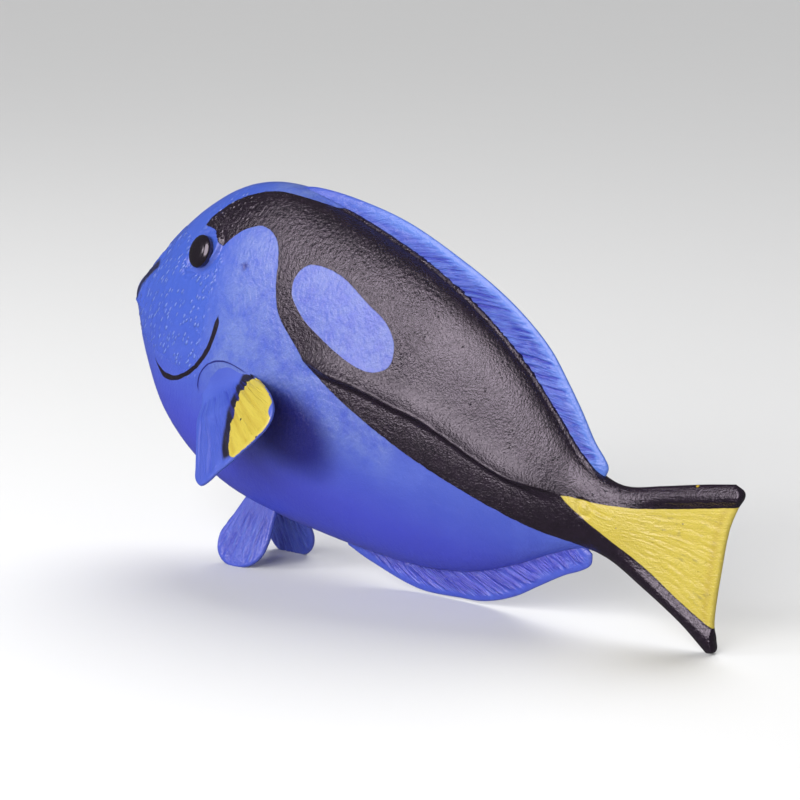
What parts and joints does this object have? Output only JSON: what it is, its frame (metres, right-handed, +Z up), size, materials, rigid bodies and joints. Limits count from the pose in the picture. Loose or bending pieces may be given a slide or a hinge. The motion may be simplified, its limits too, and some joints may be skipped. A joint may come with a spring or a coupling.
{
  "type": "vinyl toy figurine of a regal blue tang",
  "caption": "Painted vinyl figurine of a regal blue tang with a ribbed dorsal fin, splayed paired fins and a forked tail, standing nose up on its fins.",
  "frame": {"origin": "on the surface it stands on, below the middle of the whole figurine", "axes": "+X from the snout towards the tail, +Y to the fish's right, +Z up"},
  "size_m": [0.1625, 0.053, 0.0896],
  "materials": {
    "blue_paint": "satin painted vinyl, royal blue",
    "black_paint": "satin painted vinyl, black",
    "yellow_paint": "satin painted vinyl, yellow",
    "eye_gloss": "gloss black"
  },
  "bodies": {
    "root": {"head": "blue_paint", "trunk": "black_paint", "tail_stalk": "black_paint", "caudal_fin": "yellow_paint", "dorsal_fin": "blue_paint", "anal_fin": "blue_paint", "pectoral_fin_left": "blue_paint", "pectoral_fin_right": "blue_paint", "pelvic_fin_left": "blue_paint", "pelvic_fin_right": "blue_paint", "eye_left": "eye_gloss", "eye_right": "eye_gloss"}
  },
  "joints": []
}
